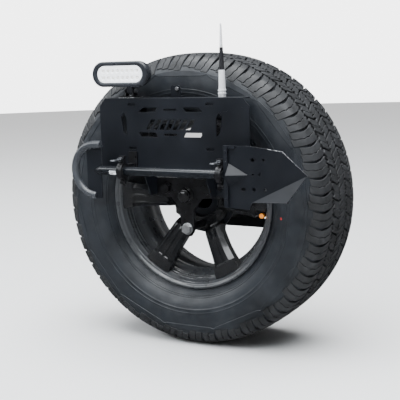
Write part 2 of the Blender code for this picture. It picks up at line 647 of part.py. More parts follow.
def shovel_root_bar(axis):
    """The upright bar at the blade's root with its step at the top and three rivet heads."""
    back = BLADE_OUT + BLADE_THICKNESS / 2 + GAP - SHAFT_OUT
    front = back + 0.0070
    low, high = -0.079, 0.070
    made = box("shovel_root_bar", (BAR_LEFT, low, back), (BAR_RIGHT, high, front), POWDER_BLACK, axis)
    step = box("step", (BAR_RIGHT - 0.001, high - 0.007, back), (0.2060, high, back + 0.005),
               POWDER_BLACK, axis)
    middle = (BAR_LEFT + BAR_RIGHT) / 2
    rivets = [rod("rivet", 0.0032, (middle, up, front - 0.001), (middle, up, front + 0.0015), STEEL, axis,
                  segments=12, end_radius=0.0020) for up in (0.057, 0.030, -0.059)]
    join(made, step, *rivets)


def shovel_socket(axis):
    """Half of a four-sided pyramid that runs out on the blade's face."""
    back = BLADE_OUT + BLADE_THICKNESS / 2 + GAP - SHAFT_OUT
    base, length, half_height, ridge = BAR_RIGHT + GAP, 0.052, 0.028, 0.022
    bm = bmesh.new()
    bmesh.ops.create_cone(bm, cap_ends=True, segments=4, radius1=1.0, radius2=0.0, depth=length)
    for vertex in bm.verts:
        x, y, z = vertex.co
        vertex.co = (base + length / 2 + z, x * half_height, back + y * ridge)
    bmesh.ops.recalc_face_normals(bm, faces=bm.faces)
    sliced = bmesh.ops.bisect_plane(bm, geom=bm.verts[:] + bm.edges[:] + bm.faces[:],
                                    plane_co=(0, 0, back), plane_no=(0, 0, -1), clear_outer=True)
    edges = [item for item in sliced["geom_cut"] if isinstance(item, bmesh.types.BMEdge)]
    bmesh.ops.holes_fill(bm, edges=edges)
    bmesh.ops.recalc_face_normals(bm, faces=bm.faces)
    add("shovel_socket", mesh_from("shovel_socket", bm), POWDER_BLACK, axis)


def fold(point, start, tip, angle):
    """Turn a flat point about the line from start to tip, towards the front."""
    along = (tip - start).normalized()
    normal = Vector((along.y, -along.x))
    offset = point - start
    distance = offset.dot(normal)
    foot = start + along * offset.dot(along)
    place = foot + normal * distance * math.cos(angle)
    return place.x, place.y, abs(distance) * math.sin(angle)


def shovel_blade(axis):
    """A flat blade with its lower wing folded forward along a crease that runs to the tip."""
    left, tip = BAR_LEFT + 0.002, Vector((0.387, 0.003))
    crease_start = Vector((0.247, -0.065))
    corner = fold(Vector((0.346, -0.0645)), crease_start, tip, BLADE_FOLD)
    bm = bmesh.new()
    edge = [bm.verts.new((x, y, 0)) for x, y in (
        (left, -0.080), (0.238, -0.083), tuple(crease_start), tuple(tip), (0.3257, 0.0582),
        (0.2385, 0.0695), (left, 0.0685))]
    bm.faces.new(edge)
    bm.faces.new((edge[2], bm.verts.new(corner), edge[3]))
    for vertex in bm.verts:
        vertex.co.z += BLADE_OUT - SHAFT_OUT
    bmesh.ops.recalc_face_normals(bm, faces=bm.faces)
    made = add("shovel_blade", mesh_from("shovel_blade", bm), POWDER_BLACK, axis)
    solidify = made.modifiers.new("thickness", "SOLIDIFY")
    solidify.thickness = BLADE_THICKNESS
    solidify.offset = 0.0
    holes = [(0.250, 0.037, 0.0050), (0.278, 0.037, 0.0035), (0.250, 0.002, 0.0022),
             (0.268, 0.003, 0.0030), (0.252, -0.034, 0.0045), (0.281, -0.033, 0.0040)]
    tools = [hole("blade_hole", r, x, up, -0.02, 0.02, axis, 12) for x, up, r in holes]
    tools.append(plate("blade_slot", [stadium((0.2245, -0.034), 0.012, 0.007, 4)], -0.02, 0.02, STEEL, axis))
    cut(made, *tools)


def shovel():
    axis = empty("shovel_axis", (0, SHAFT_UP, SHAFT_OUT), parent=FRONT)
    shovel_shaft(axis)
    shovel_handle(axis)
    shovel_root_bar(axis)
    shovel_socket(axis)
    shovel_blade(axis)


# ---------------------------------------------------------------- shovel clamps

def half_ring(name, inner, outer, side, finish, parent, width):
    """Half a ring about the X axis, on the out side (side 1) or the tailgate side (side -1)."""
    sweep = 90 * (1 - side)
    outline = arc((0, 0), outer, sweep + 1, sweep + 179, 8) + arc((0, 0), inner, sweep + 179, sweep + 1, 8)
    # local X is up and local Y is out, so the ring is turned about the parent's X axis
    return plate(name, [outline], -width / 2, width / 2, finish, parent,
                 rotation=(math.pi / 2, 0, math.pi / 2))


def clamp(name, x):
    """Saddle with its pressed-in hinge pin and liner; jaw with liner; screw with a pull ring."""
    centre = empty(f"clamp_{name}_axis", (x, SHAFT_UP, SHAFT_OUT), parent=FRONT)
    half = CLAMP_WIDTH / 2
    foot_front = PANEL_FRONT + GAP + 0.004 - SHAFT_OUT
    drop, rise = CLAMP_HINGE_DROP, CLAMP_SCREW_RISE
    ear = 0.0050
    knuckle = 0.0048

    saddle = box(f"clamp_saddle_{name}", (-0.0125, -0.0075, PANEL_FRONT + GAP - SHAFT_OUT),
                 (0.0125, 0.0440, foot_front), BLACK_STEEL, centre)
    saddle_ears = [box("knuckle_web", (low, -drop, -ear), (high, -0.018, -0.0004), BLACK_STEEL, centre)
                   for low, high in ((-half, -0.0038), (0.0038, half))]
    saddle_knuckles = [rod("knuckle", knuckle, (low, -drop, 0), (high, -drop, 0), BLACK_STEEL, centre)
                       for low, high in ((-half, -0.0038), (0.0038, half))]
    join(saddle, box("stem", (-half, -0.0075, foot_front - 0.001), (half, 0.0150, -CLAMP_INNER - 0.002),
                     BLACK_STEEL, centre),
         half_ring("rear_ring", CLAMP_INNER, CLAMP_OUTER, -1, BLACK_STEEL, centre, CLAMP_WIDTH),
         box("screw_ear", (-half, 0.0185, -ear), (half, rise + 0.008, -0.0004), BLACK_STEEL, centre),
         *saddle_ears, *saddle_knuckles,
         rod("hinge_pin", 0.0020, (-half - 0.001, -drop, 0), (half + 0.001, -drop, 0), STEEL, centre))
    cut(saddle, hole("screw_hole", 0.0032, 0, rise, -0.012, 0.004, centre))

    jaw = half_ring(f"clamp_jaw_{name}", CLAMP_INNER, CLAMP_OUTER, 1, BLACK_STEEL, centre, CLAMP_WIDTH)
    join(jaw, box("screw_ear", (-half, 0.0185, 0.0004), (half, rise + 0.008, ear), BLACK_STEEL, centre),
         box("knuckle_web", (-0.0034, -drop, 0.0004), (0.0034, -0.018, ear), BLACK_STEEL, centre),
         rod("knuckle", knuckle, (-0.0034, -drop, 0), (0.0034, -drop, 0), BLACK_STEEL, centre))
    cut(jaw, rod("pin_bore", 0.0024, (-0.02, -drop, 0), (0.02, -drop, 0), STEEL, centre),
        hole("screw_hole", 0.0030, 0, rise, -0.004, 0.012, centre))

    liner = (SHAFT_RADIUS + GAP, CLAMP_INNER - GAP)
    half_ring(f"clamp_liner_rear_{name}", *liner, -1, RUBBER, centre, CLAMP_WIDTH - 0.001)
    half_ring(f"clamp_liner_front_{name}", *liner, 1, RUBBER, centre, CLAMP_WIDTH - 0.001)

    screw = empty(f"clamp_{name}_screw_axis", (0, rise, 0), parent=centre)
    knob = rod(f"clamp_knob_{name}", 0.0024, (0, 0, -0.0045), (0, 0, ear + 0.003), STEEL, screw, segments=12)
    ring = [(px, 0, py) for py, px in stadium((0.030, 0), 0.036, 0.0125, 6)]
    join(knob, rod("knob_hub", 0.0058, (0, 0, ear + GAP), (0, 0, 0.0140), STEEL, screw),
         tube("pull_ring", ring, 0.0019, STEEL, screw, cyclic=True))


# ---------------------------------------------------------------- assembly

tailgate_plate()
carrier_post()
wheel_flange()
tyre()
barrel()
spider()
valve()
for index, nut_angle in enumerate(NUT_ANGLES, 1):
    lug_nut(index, nut_angle)
for index, standoff_angle in enumerate(STANDOFF_ANGLES, 1):
    standoff(index, standoff_angle)
mount_plate()
centre_dome_bolt()
panel_arm(-1, "panel_arm_left")
panel_arm(1, "panel_arm_right")
accessory_panel()
studs = [(side * PANEL_STUD_X, spot) for spot in PANEL_STUD_UPS for side in (-1, 1)]
for index, (stud_x, stud_up) in enumerate(studs, 1):
    panel_stud(index, stud_x, stud_up)
accessory_tab()
work_light()
antenna()
shovel()
for clamp_name, clamp_x in CLAMP_XS.items():
    clamp(clamp_name, clamp_x)
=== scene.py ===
"""Looks of the spare tire carrier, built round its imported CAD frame.

Metres in the row frame: +Z up, the wheel's axis along Y, its outer face towards -Y. Most shapes
are laid out round the wheel as (radius, angle, out), out being measured towards the viewer from
the wheel's centre plane.
"""

import json
import math

import bmesh
import bpy
import numpy as np
from mathutils import Matrix, Vector


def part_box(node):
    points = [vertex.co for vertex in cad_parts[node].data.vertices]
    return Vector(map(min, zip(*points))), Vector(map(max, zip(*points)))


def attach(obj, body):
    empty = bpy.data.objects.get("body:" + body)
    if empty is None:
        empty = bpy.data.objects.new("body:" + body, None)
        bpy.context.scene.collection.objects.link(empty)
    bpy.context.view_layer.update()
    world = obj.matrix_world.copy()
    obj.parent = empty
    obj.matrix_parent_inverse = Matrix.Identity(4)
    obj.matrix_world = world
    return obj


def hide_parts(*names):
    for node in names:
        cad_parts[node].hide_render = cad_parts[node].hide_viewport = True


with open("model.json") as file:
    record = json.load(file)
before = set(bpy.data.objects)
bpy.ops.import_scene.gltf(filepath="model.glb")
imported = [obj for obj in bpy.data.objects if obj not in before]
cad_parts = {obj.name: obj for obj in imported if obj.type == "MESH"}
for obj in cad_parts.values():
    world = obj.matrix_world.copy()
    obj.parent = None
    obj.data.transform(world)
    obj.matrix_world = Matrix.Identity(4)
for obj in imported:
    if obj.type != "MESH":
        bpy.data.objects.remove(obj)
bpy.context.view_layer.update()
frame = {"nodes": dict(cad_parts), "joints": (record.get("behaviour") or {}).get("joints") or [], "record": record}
nodes = frame["nodes"]

tyre_low, tyre_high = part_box("tyre")
WHEEL = (tyre_low + tyre_high) / 2
TYRE_RADIUS = (tyre_high.z - tyre_low.z) / 2
TYRE_HALF_WIDTH = (tyre_high.y - tyre_low.y) / 2
SMOOTH_ANGLE = math.radians(32)


# ---------------------------------------------------------------- materials

class Look:
    """A node material: a Principled shader and the few textures that feed it."""

    def __init__(self, name, colour, roughness, **sockets):
        self.material = bpy.data.materials.new(name)
        self.material.use_nodes = True
        self.tree = self.material.node_tree
        self.shader = self.tree.nodes["Principled BSDF"]
        self.place = self.tree.nodes.new("ShaderNodeTexCoord").outputs["Object"]
        self.set("Base Color", (*colour, 1.0))
        self.set("Roughness", roughness)
        for socket, value in sockets.items():
            self.set(socket.replace("_", " "), value)

    def set(self, socket, value):
        self.shader.inputs[socket].default_value = value

    def link(self, output, socket):
        self.tree.links.new(output, self.shader.inputs[socket])

    def node(self, kind, settings=None, **inputs):
        made = self.tree.nodes.new("ShaderNode" + kind)
        for key, value in (settings or {}).items():
            setattr(made, key, value)
        for key, value in inputs.items():
            socket = made.inputs[key.replace("_", " ")]
            if isinstance(value, bpy.types.NodeSocket):
                self.tree.links.new(value, socket)
            else:
                socket.default_value = value
        return made

    def noise(self, scale, detail=3.0, stretch=(1, 1, 1), distortion=0.0):
        """Noise in object space; stretch squeezes it along an axis, as for brushed metal."""
        mapped = self.node("Mapping", Vector=self.place, Scale=stretch)
        return self.node("TexNoise", Vector=mapped.outputs[0], Scale=scale, Detail=detail,
                         Distortion=distortion).outputs["Fac"]

    def remap(self, value, low, high, start=0.35, stop=0.65):
        return self.node("MapRange", Value=value, From_Min=start, From_Max=stop, To_Min=low,
                         To_Max=high).outputs[0]

    def maths(self, operation, a, b):
        made = self.tree.nodes.new("ShaderNodeMath")
        made.operation = operation
        for socket, value in zip(made.inputs, (a, b)):
            if isinstance(value, bpy.types.NodeSocket):
                self.tree.links.new(value, socket)
            else:
                socket.default_value = value
        return made.outputs[0]

    def mix(self, factor, first, second):
        made = self.tree.nodes.new("ShaderNodeMix")
        made.data_type = "RGBA"
        for index, value in ((0, factor), (6, first), (7, second)):
            if isinstance(value, bpy.types.NodeSocket):
                self.tree.links.new(value, made.inputs[index])
            else:
                made.inputs[index].default_value = value if index == 0 else (*value, 1.0)
        return made.outputs[2]

    def up(self):
        """How far the surface faces up, -1 to 1."""
        normal = self.tree.nodes.new("ShaderNodeNewGeometry").outputs["Normal"]
        return self.node("SeparateXYZ", Vector=normal).outputs["Z"]

    def bump(self, height, depth, strength=1.0):
        """Add relief of a depth in metres under what is there already."""
        made = self.node("Bump", Height=height, Distance=depth, Strength=strength)
        if self.shader.inputs["Normal"].links:
            self.tree.links.new(self.shader.inputs["Normal"].links[0].from_socket,
                                made.inputs["Normal"])
        self.link(made.outputs[0], "Normal")


PALE_DUST = (0.16, 0.16, 0.165)
BRAKE_DUST = (0.045, 0.042, 0.040)
RUBBER_BLOOM = (0.085, 0.088, 0.095)
# bright steel along the blade's edges: partly real wear, partly a painted highlight on the edges
STEEL_WEAR_AND_HIGHLIGHT = (0.62, 0.63, 0.65)


def shade(colour, factor):
    return tuple(c * factor for c in colour)


def powder_coat(name, colour, roughness=0.38, dust=0.25, specular=0.32):
    """Satin powder coat: orange peel, slow changes of gloss and a film of dust on top faces."""
    look = Look(name, colour, roughness, Specular_IOR_Level=specular)
    cloud = look.noise(9, 4)
    facing = look.remap(look.up(), 0.0, dust, 0.3, 1.0)
    film = look.maths("MULTIPLY", facing, look.remap(look.noise(38, 5), 0.3, 1.0))
    body = look.mix(look.remap(cloud, 0, 1), shade(colour, 0.8), shade(colour, 1.25))
    look.link(look.mix(film, body, PALE_DUST), "Base Color")
    look.link(look.remap(look.noise(17, 4), roughness - 0.05, roughness + 0.08), "Roughness")
    look.bump(look.noise(520, 2), 0.00006, 0.3)
    return look.material


def gloss_paint(name, colour, roughness=0.09):
    """Gloss paint under clear coat, with a trace of brake dust."""
    look = Look(name, colour, roughness, Coat_Weight=0.8, Coat_Roughness=0.04)
    grime = look.remap(look.noise(26, 6), 0.0, 0.22, 0.45, 0.75)
    look.link(look.mix(grime, colour, BRAKE_DUST), "Base Color")
    look.link(look.remap(look.noise(31, 4), roughness, roughness + 0.12), "Roughness")
    look.bump(look.noise(260, 2), 0.0001, 0.18)
    return look.material


def plated_steel(name, colour, roughness=0.26):
    """Zinc plating: cloudy tint, fine scratches and a little uneven gloss."""
    look = Look(name, colour, roughness, Metallic=1.0)
    cloud = look.remap(look.noise(90, 4), 0, 1)
    look.link(look.mix(cloud, shade(colour, 0.82), colour), "Base Color")
    scratches = look.noise(420, 3, (1, 1, 9))
    look.link(look.remap(scratches, roughness - 0.08, roughness + 0.14), "Roughness")
    look.bump(scratches, 0.00005, 0.4)
    return look.material


def black_oxide(name, colour, roughness=0.34):
    look = Look(name, colour, roughness, Metallic=0.25)
    mottle = look.remap(look.noise(70, 5), 0, 1)
    look.link(look.mix(mottle, shade(colour, 0.7), shade(colour, 1.5)), "Base Color")
    look.link(look.remap(look.noise(120, 4), roughness - 0.07, roughness + 0.12), "Roughness")
    look.bump(look.noise(700, 3), 0.00008, 0.4)
    return look.material


def rubber(name, colour, roughness=0.56, dust=0.30, grain=0.00022):
    """Rubber: fine grain, blotches of bloom, and pale dust that gathers unevenly."""
    look = Look(name, colour, roughness, Specular_IOR_Level=0.45)
    bloom = look.remap(look.noise(13, 5), 0, 1)
    body = look.mix(bloom, shade(colour, 0.78), shade(colour, 1.22))
    film = look.maths("MULTIPLY", look.remap(look.noise(46, 7), 0.0, dust, 0.42, 0.72),
                      look.remap(look.noise(5, 3), 0.3, 1.0))
    look.link(look.mix(film, body, RUBBER_BLOOM), "Base Color")
    look.link(look.remap(look.noise(24, 5), roughness - 0.09, roughness + 0.10), "Roughness")
    look.bump(look.noise(620, 4), grain, 0.45)
    return look.material


def plastic(name, colour, roughness=0.34, mould=0.0001):
    look = Look(name, colour, roughness)
    stain = look.remap(look.noise(60, 5), 0, 1)
    look.link(look.mix(stain, shade(colour, 0.90), colour), "Base Color")
    look.link(look.remap(look.noise(80, 3), roughness - 0.06, roughness + 0.1), "Roughness")
    look.bump(look.noise(480, 3), mould, 0.35)
    return look.material


COAT_BLACK = (0.0092, 0.0106, 0.0140)
POWDER = powder_coat("satin_powder_coat", COAT_BLACK, 0.34, 0.06, 0.22)
SHAFT_COAT = powder_coat("shaft_coat", (0.0070, 0.0084, 0.0110), 0.21, 0.03, 0.60)
# a lighter copy of the black powder coat for the handle loop: painted light standing in for the loop's highlight
HANDLE_COAT_PAINTED_LIGHT = powder_coat("handle_coat_painted_light", (0.0450, 0.0490, 0.0570), 0.27, 0.04, 0.70)
RIM_PAINT = gloss_paint("gloss_rim_paint", (0.0090, 0.0095, 0.0110), 0.15)
# a lighter copy of the gloss black rim paint for the barrel: painted light standing in for the sky lighting the
# barrel's inside
BARREL_PAINT_PAINTED_LIGHT = gloss_paint("barrel_paint_painted_light", (0.0450, 0.0480, 0.0530), 0.24)
NUT_PAINT = gloss_paint("gloss_nut_paint", (0.007, 0.007, 0.008), 0.16)
ZINC = plated_steel("zinc_plating", (0.72, 0.73, 0.75))
# a lighter and a darker copy of the zinc plating: painted highlight for one standoff bolt, painted shade for the
# clamp knobs
ZINC_PAINTED_HIGHLIGHT = plated_steel("zinc_painted_highlight", (0.92, 0.93, 0.95), 0.44)
ZINC_PAINTED_SHADE = plated_steel("zinc_painted_shade", (0.24, 0.25, 0.27), 0.42)
OXIDE = black_oxide("black_oxide", (0.009, 0.009, 0.0105))
CASTING = powder_coat("lamp_casting", (0.0190, 0.0210, 0.0260), 0.27, 0.08, 0.5)
SIDEWALL = rubber("tyre_rubber", (0.0165, 0.0195, 0.0245), 0.42, 0.20)
TREAD = rubber("tread_rubber", (0.0200, 0.0208, 0.0228), 0.55, 0.26)
LINER = rubber("liner_rubber", (0.014, 0.014, 0.015), 0.7, 0.15)
WHITE = plastic("white_plastic", (0.78, 0.79, 0.82))
BLACK_PLASTIC = plastic("black_plastic", (0.018, 0.018, 0.021))
AMBER = plastic("amber_plastic", (0.95, 0.30, 0.03), 0.22)
BOARD = plastic("white_board", (0.82, 0.83, 0.81), 0.45)


def lens_glow():
    """The lamp's bright reflector under its clear front, lit by its own diodes."""
    look = Look("lit_reflector", (0.86, 0.88, 0.92), 0.18, Coat_Weight=0.9, Coat_Roughness=0.04,
                Emission_Color=(0.93, 0.96, 1.0, 1.0), Emission_Strength=1.3)
    look.bump(look.noise(300, 3), 0.0001, 0.4)
    return look.material


def blade_coat_worn_and_lit(lines):
    """Powder coat ground through to steel along some of the blade's edges; the bright steel is partly real wear
    and partly a painted highlight along those edges: (start, end, width) each.
    """
    colour = COAT_BLACK
    look = Look("blade_coat_worn_and_lit", colour, 0.34, Specular_IOR_Level=0.22)
    chips = look.remap(look.noise(210, 5), -0.0006, 0.0008)
    wear_and_highlight = None
    for start, end, width in lines:
        along = (Vector(end) - Vector(start)).normalized()
        offset = look.node("VectorMath", {"operation": "SUBTRACT"})
        look.tree.links.new(look.place, offset.inputs[0])
        offset.inputs[1].default_value = start
        across = look.node("VectorMath", {"operation": "CROSS_PRODUCT"})
        look.tree.links.new(offset.outputs[0], across.inputs[0])
        across.inputs[1].default_value = along
        length = look.node("VectorMath", {"operation": "LENGTH"})
        look.tree.links.new(across.outputs[0], length.inputs[0])
        distance = look.maths("ADD", length.outputs["Value"], chips)
        share = look.remap(distance, 1.0, 0.0, width * 0.7, width)
        wear_and_highlight = share if wear_and_highlight is None else look.maths("MAXIMUM", wear_and_highlight, share)
    cloud = look.mix(look.remap(look.noise(9, 4), 0, 1), shade(colour, 0.8), shade(colour, 1.25))
    # edges mixed to bright steel: worn coat and painted edge highlight together
    look.link(look.mix(wear_and_highlight, cloud, STEEL_WEAR_AND_HIGHLIGHT), "Base Color")
    look.link(wear_and_highlight, "Metallic")
    look.link(look.remap(look.noise(17, 4), 0.29, 0.42), "Roughness")
    look.bump(look.noise(520, 2), 0.00006, 0.3)
    return look.material


LENS = lens_glow()
LABEL = plastic("pale_label", (0.80, 0.82, 0.86), 0.30)
DOT = plastic("red_paint_dot", (0.42, 0.02, 0.02), 0.45)
DIODE = Look("diode", (1.0, 0.97, 0.88), 0.3, Emission_Color=(1.0, 0.97, 0.90, 1.0),
             Emission_Strength=3.0).material


# ---------------------------------------------------------------- mesh helpers

def place(mesh_object, body, finish):
    """Give a finished object its material and the body it rides on."""
    mesh_object.data.materials.clear()
    mesh_object.data.materials.append(finish)
    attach(mesh_object, body)
    return mesh_object


def from_arrays(name, points, faces, body, finish, angle=SMOOTH_ANGLE):
    mesh = bpy.data.meshes.new(name)
    mesh.from_pydata([tuple(p) for p in np.asarray(points, float)], [], [tuple(f) for f in faces])
    bm = bmesh.new()
    bm.from_mesh(mesh)
    bmesh.ops.remove_doubles(bm, verts=bm.verts, dist=0.000005)
    bmesh.ops.recalc_face_normals(bm, faces=bm.faces)
    bm.to_mesh(mesh)
    bm.free()
    mesh.shade_smooth()
    mesh.set_sharp_from_angle(angle=angle)
    made = bpy.data.objects.new(name, mesh)
    bpy.context.scene.collection.objects.link(made)
    return place(made, body, finish)


def round_wheel(radius, angle, out):
    """Row-frame points from radius, angle in radians and out, as arrays."""
    radius, angle, out = np.broadcast_arrays(radius, angle, out)
    return np.stack([WHEEL.x + radius * np.cos(angle), WHEEL.y - out,
                     WHEEL.z + radius * np.sin(angle)], axis=-1)


def grid_faces(rows, columns, wrap_rows=False, wrap_columns=False, start=0):
    """Quads of a grid whose point (i, j) is number start + i * columns + j."""
    faces = []
    for i in range(rows if wrap_rows else rows - 1):
        for j in range(columns if wrap_columns else columns - 1):
            i2, j2 = (i + 1) % rows, (j + 1) % columns
            faces.append((start + i * columns + j, start + i2 * columns + j,
                          start + i2 * columns + j2, start + i * columns + j2))
    return faces


def lathe_wheel(profile, steps):
    """Points and faces of a closed profile of (radius, out) turned about the wheel's axis."""
    profile = np.array(profile, float)
    angles = np.linspace(0, 2 * math.pi, steps, endpoint=False)
    points = round_wheel(profile[None, :, 0], angles[:, None], profile[None, :, 1])
    return points.reshape(-1, 3), grid_faces(steps, len(profile), True, True)


def smooth_curve(points, count, closed=False):
    """count points evenly spaced along a Catmull-Rom curve through the given ones."""
    given = np.array(points, float)
    ends = (given[-1:], given[:2]) if closed else (2 * given[:1] - given[1:2],
                                                   2 * given[-1:] - given[-2:-1])
    p = np.concatenate([ends[0], given, ends[1]])
    t = np.linspace(0, 1, 24, endpoint=False)[:, None]
    parts = []
    for a, b, c, d in zip(p, p[1:], p[2:], p[3:]):
        parts.append(0.5 * (2 * b + (c - a) * t + (2 * a - 5 * b + 4 * c - d) * t ** 2
                            + (3 * b - a - 3 * c + d) * t ** 3))
    dense = np.concatenate(parts + [p[-2:-1]])
    run = np.concatenate([[0], np.cumsum(np.linalg.norm(np.diff(dense, axis=0), axis=1))])
    spots = np.linspace(0, run[-1], count, endpoint=not closed)
    return np.stack([np.interp(spots, run, dense[:, k]) for k in range(dense.shape[1])], axis=1)


# ---------------------------------------------------------------- tyre

# half of the tyre's outside, as (radius, out), from the middle of the tread to the bead
TYRE_CONTOUR = [(TYRE_RADIUS, 0.0), (0.3877, 0.030), (0.3868, 0.060), (0.3846, 0.085),
                (0.3802, 0.1030), (0.3715, 0.1152), (0.3580, 0.1243), (0.3400, 0.1308),
                (0.3200, 0.1342), (0.3050, TYRE_HALF_WIDTH), (0.2880, 0.1328), (0.2720, 0.1270),
                (0.2570, 0.1180), (0.2465, 0.1080), (0.2415, 0.1010), (0.2371, 0.0975)]
PITCHES = 56
PITCH = 2 * math.pi / PITCHES
PITCH_LENGTH = PITCH * TYRE_RADIUS
LUG_END = 0.152             # where the shoulder lugs end, along the contour from its middle
GROOVE_DEPTH = [(0, 0.0088), (0.100, 0.0084), (0.112, 0.0056), (0.125, 0.0034), (0.140, 0.0020),
                (LUG_END, 0.0010)]


class Contour:
    """The tyre's outside by arc length: positive on the outer side, negative on the inner."""

    def __init__(self, points, count=600):
        self.line = smooth_curve(points, count)
        step = np.gradient(self.line, axis=0)
        length = np.linalg.norm(step, axis=1)
        self.run = np.concatenate([[0], np.cumsum(np.linalg.norm(np.diff(self.line, axis=0),
                                                                 axis=1))])
        self.normal = np.stack([step[:, 1], -step[:, 0]], axis=1) / length[:, None]
        self.length = self.run[-1]

    def at(self, run, rise):
        """(radius, out) at arc length run, rise above the surface."""
        side, run = np.sign(run), np.abs(run)
        radius, out, up, across = (np.interp(run, self.run, column) for column in
                                   (*self.line.T, *self.normal.T))
        return radius + up * rise, (out + across * rise) * np.where(side == 0, 1, side)


contour = Contour(TYRE_CONTOUR)


def groove_depth(run):
    return np.interp(np.abs(run), *zip(*GROOVE_DEPTH))


def tyre_carcass():
    """Groove floors, sidewalls with fine moulded rings, beads and the inside, in one turned skin."""
    floor = np.linspace(0, LUG_END, 30)
    radius, out = contour.at(floor, -groove_depth(floor))
    rings = {0.1990: 0.0006, 0.2080: 0.0005, 0.2420: 0.0009, 0.2475: 0.0009, 0.2660: 0.0007}
    spots = [LUG_END + 0.001]
    rises = [0.0]
    for run in np.arange(LUG_END + 0.006, contour.length - 0.001, 0.005):
        near = min(rings, key=lambda ring: abs(ring - run))
        if abs(near - run) < 0.0035:
            continue
        spots.append(run)
        rises.append(0.0)
    for ring, height in rings.items():
        spots += [ring - 0.0016, ring - 0.0008, ring + 0.0008, ring + 0.0016]
        rises += [0.0, height, height, 0.0]
    order = np.argsort(spots)
    spots, rises = np.array(spots)[order], np.array(rises)[order]
    wall_radius, wall_out = contour.at(spots, rises)
    bead = [(0.2371, 0.0972), (0.2300, 0.0950), (0.2225, 0.0936), (0.2200, 0.0915), (0.2196, 0.0880),
            (0.2200, 0.0780), (0.2320, 0.0800), (0.2550, 0.1000), (0.3000, 0.1200), (0.3500, 0.1120),
            (0.3740, 0.0800)]
    half = list(zip(np.concatenate([radius, wall_radius]), np.concatenate([out, wall_out]))) + bead
    profile = half + [(r, -h) for r, h in reversed(half[1:])]
    points, faces = lathe_wheel(profile, PITCHES * 4)
    carcass = from_arrays("tyre_carcass", points, faces, "carrier", SIDEWALL)
    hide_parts("tyre")


def block(left, right, start, stop, rows, columns, chamfer=0.0009, draft=0.0006):
    """One tread block as points of (pitches, run, rise) and faces.

    left and right give its edges in pitches at an arc length; start and stop its ends, as
    functions of the share across the block."""
    share = np.linspace(0, 1, columns + 1)[None, :]
    along = np.linspace(0, 1, rows + 1)[:, None]

    def layer(inset):
        low = start(share) + inset
        high = stop(share) - inset
        run = low + (high - low) * along
        side = inset / PITCH_LENGTH
        first, last = left(run) + side, right(run) - side
        return first + (last - first) * share, run

    def edge(pair, rise):
        """Points round the layer's border, in order."""
        pitch, run = pair
        rise = rise(run)
        stack = np.stack([pitch, run, rise], axis=-1)
        return np.concatenate([stack[0, :-1], stack[:-1, -1], stack[-1, :0:-1], stack[:0:-1, 0]])

    pitch, run = layer(chamfer)
    top = np.stack([pitch, run, np.zeros_like(run)], axis=-1)
    count = (rows + 1) * (columns + 1)
    index = np.arange(count).reshape(rows + 1, columns + 1)
    border = np.concatenate([index[0, :-1], index[:-1, -1], index[-1, :0:-1], index[:0:-1, 0]])
    around = len(border)
    brow = edge(layer(0.0), lambda r: np.full_like(r, -chamfer))
    foot = edge(layer(-draft), lambda r: -groove_depth(r) - 0.0006)
    points = np.concatenate([top.reshape(-1, 3), brow, foot])
    faces = grid_faces(rows + 1, columns + 1)
    for first, second in ((border, count + np.arange(around)),
                          (count + np.arange(around), count + around + np.arange(around))):
        for k in range(around):
            n = (k + 1) % around
            faces.append((first[k], first[n], second[n], second[k]))
    return points, faces


def zigzag(value, period, reach):
    """A triangle wave."""
    return reach * (2 * np.abs(2 * ((value / period) % 1.0) - 1) - 1)


def constant(value):
    return lambda share: np.full_like(share, value)


def tread_pattern(odd):
    """The blocks of one pitch on the outer half of the tread; odd pitches have shorter lugs."""
    sipe = 0.016                                # half a sipe's width, in pitches
    groove = 0.062                              # half a lateral groove's width, in pitches
    blocks = []

    def shoulder_edge(run):
        return -0.26 * np.sin((run - 0.070) / 0.080 * math.pi) + 0.05

    def notch(run):
        """Half the lateral groove's width, widest over the shoulder."""
        return np.interp(run, (0.066, 0.080, 0.100, 0.122, 0.140, 0.152),
                         (0.022, 0.050, 0.078, 0.075, 0.040, 0.012))

    end = LUG_END - (0.009 if odd else 0.0015)

    def sipe_line(run):
        return shoulder_edge(run) + 0.50 + zigzag(run, 0.018, 0.035)

    def ragged(share):
        return 0.0702 + zigzag(share + (0.5 if odd else 0.0), 0.5, 0.0038)

    blocks.append(block(lambda r: shoulder_edge(r) + notch(r), lambda r: sipe_line(r) - sipe,
                        ragged, constant(end), 13, 4))
    blocks.append(block(lambda r: sipe_line(r) + sipe, lambda r: shoulder_edge(r) + 1 - notch(r),
                        lambda share: ragged(1 - share), constant(end - 0.004), 13, 4))

    def slant(run):
        return 0.30 + (run - 0.045) * 9.0

    def inner_line(run):
        return slant(run) + 0.46 + zigzag(run, 0.014, 0.030)

    low, high, jag = 0.0272, 0.0608, 0.0036
    step = 0.5 if odd else 0.0
    blocks.append(block(lambda r: slant(r) + groove, lambda r: inner_line(r) - sipe,
                        lambda s: low + zigzag(s + step, 0.5, 0.0024),
                        lambda s: high + zigzag(s + step, 1.0, jag), 8, 6))
    blocks.append(block(lambda r: inner_line(r) + sipe, lambda r: slant(r) + 1 - groove,
                        lambda s: low - zigzag(s + step, 0.5, 0.0024),
                        lambda s: high - zigzag(s + step, 1.0, jag), 8, 6))
    return blocks


def centre_pattern():
    """The blocks of one pitch astride the middle of the tread."""
    def slant(run):
        return -run * 9.0 + 0.1

    def middle(run):
        return slant(run) + 0.5 + zigzag(run, 0.016, 0.035)

    half, jag, sipe, groove = 0.0192, 0.0038, 0.018, 0.055
    return [block(lambda r: slant(r) + groove, lambda r: middle(r) - sipe,
                  lambda s: -half + zigzag(s, 0.5, jag), lambda s: half + zigzag(s, 1.0, jag), 8, 6),
            block(lambda r: middle(r) + sipe, lambda r: slant(r) + 1 - groove,
                  lambda s: -half - zigzag(s, 1.0, jag), lambda s: half - zigzag(s, 0.5, jag), 8, 6)]


